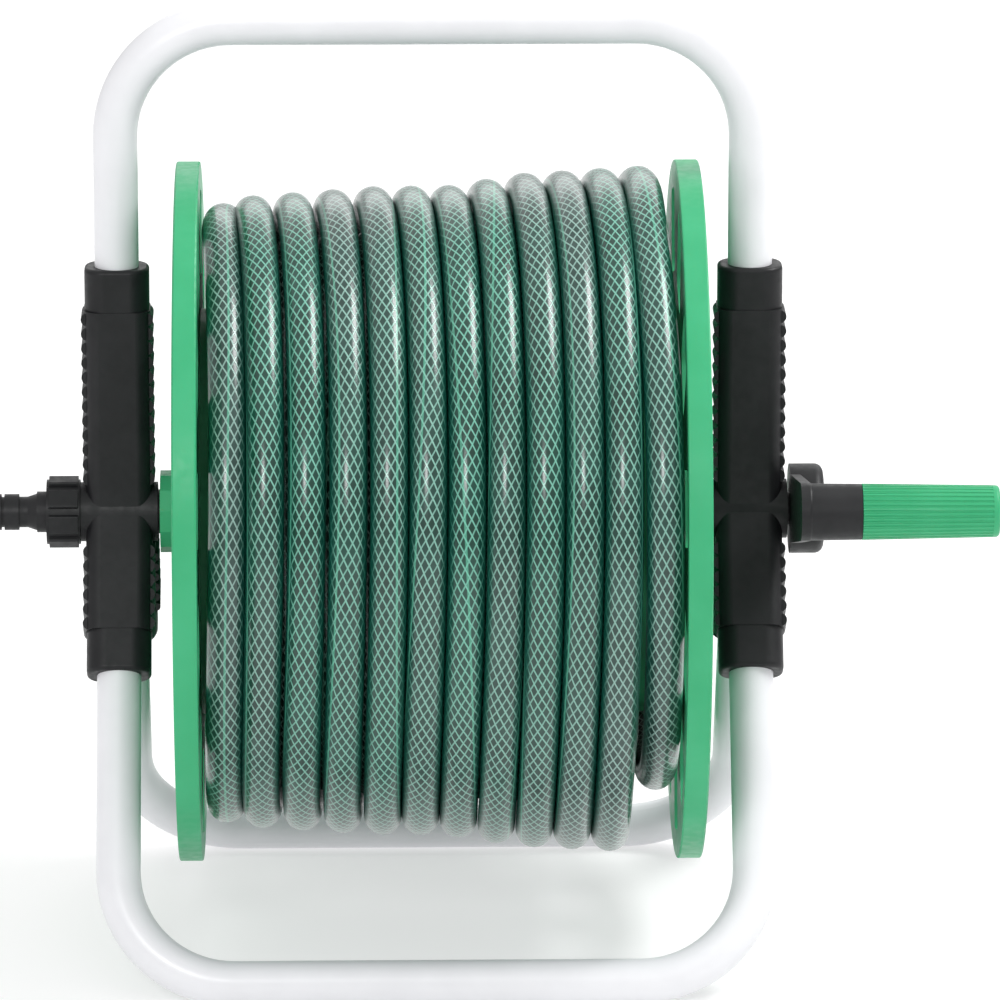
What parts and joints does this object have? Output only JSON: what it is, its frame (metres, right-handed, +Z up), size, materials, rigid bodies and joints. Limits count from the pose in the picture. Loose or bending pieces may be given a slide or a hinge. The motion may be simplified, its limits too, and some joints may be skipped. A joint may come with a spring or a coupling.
{
  "type": "garden hose reel",
  "caption": "Portable garden hose reel: a bent-tube stand with moulded hubs, a flanged drum turned by a crank, a wound braided hose and a push-on water inlet.",
  "frame": {"origin": "on the ground, at the middle of the reel's bounding box", "axes": "+X along the drum's axle from the water inlet to the crank, +Y to the back, +Z up"},
  "size_m": [0.4496, 0.3176, 0.433],
  "materials": {
    "powder_coat": "satin white powder coat on steel tube",
    "black_plastic": "moulded polypropylene, fine satin texture",
    "green_plastic": "moulded polypropylene, satin",
    "white_plastic": "turned acetal washer",
    "black_rubber": "nitrile rubber",
    "zinc_steel": "zinc plated",
    "hose_pvc": "clear green PVC over a pale braided yarn"
  },
  "bodies": {
    "stand": {"handle_tube": "powder_coat", "front_foot_tube": "powder_coat", "rear_foot_tube": "powder_coat", "left_hub": "black_plastic", "right_hub": "black_plastic", "left_handle_collar": "black_plastic", "left_front_collar": "black_plastic", "left_rear_collar": "black_plastic", "right_handle_collar": "black_plastic", "right_front_collar": "black_plastic", "right_rear_collar": "black_plastic", "tube_screws": "zinc_steel", "inlet_spigot": "black_plastic", "inlet_seal": "black_rubber", "inlet_union_nut": "black_plastic", "inlet_nipple": "black_plastic", "axle_oring": "black_rubber", "spigot_circlip": "zinc_steel"},
    "drum": {"left_flange": "green_plastic", "right_flange": "green_plastic", "drum_barrel": "green_plastic", "left_journal": "green_plastic", "left_flange_screws": "zinc_steel", "right_flange_screws": "zinc_steel", "outlet_elbow": "black_plastic", "hose_clamp": "zinc_steel", "crank_shaft": "black_plastic", "thrust_washer": "white_plastic", "crank_arm": "black_plastic", "crank_screw": "zinc_steel", "grip_pin": "zinc_steel", "pin_clip": "zinc_steel", "hose_winding": "hose_pvc", "hose_end_nut": "black_plastic", "hose_end_connector": "green_plastic"},
    "grip": {"grip": "green_plastic"}
  },
  "joints": [
    {"name": "drum_spin", "type": "hinge", "parent": "stand", "child": "drum", "pos_m": [-0.02485, 0, 0.197], "axis": [1, 0, 0], "continuous": true},
    {"name": "grip_spin", "type": "hinge", "parent": "drum", "child": "grip", "pos_m": [0.19415, -0.09218, 0.21998], "axis": [1, 0, 0], "continuous": true}
  ]
}
